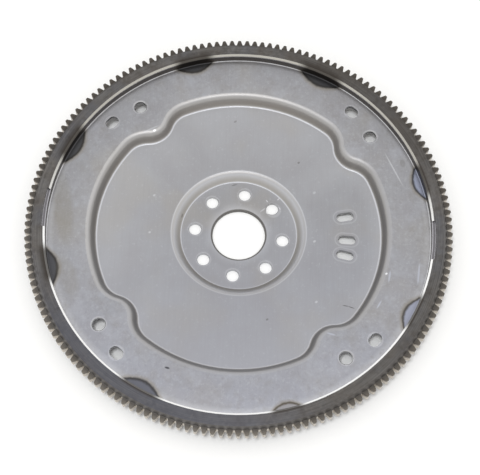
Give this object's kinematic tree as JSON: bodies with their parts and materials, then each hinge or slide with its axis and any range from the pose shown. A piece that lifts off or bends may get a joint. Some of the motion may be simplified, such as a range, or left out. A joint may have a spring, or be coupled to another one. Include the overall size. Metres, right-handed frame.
{
  "type": "flexplate",
  "caption": "Dished steel flexplate with a lobed bead, crank and converter bolt holes, and a welded starter ring gear.",
  "frame": {"origin": "centre of the hub's back face, which bolts to the crankshaft", "axes": "+Z along the crank axis toward the torque converter; +X through one converter pad and its round hole"},
  "size_m": [0.3626, 0.3626, 0.0281],
  "materials": {
    "disc_steel": "satin rolled sheet with heat tint at the welds",
    "ring_steel": "dark hardened steel, turned",
    "weld_metal": "rippled weld bead"
  },
  "bodies": {
    "root": {"flexplate_disc": "disc_steel", "ring_gear": "ring_steel", "weld_beads": "weld_metal"}
  },
  "joints": []
}
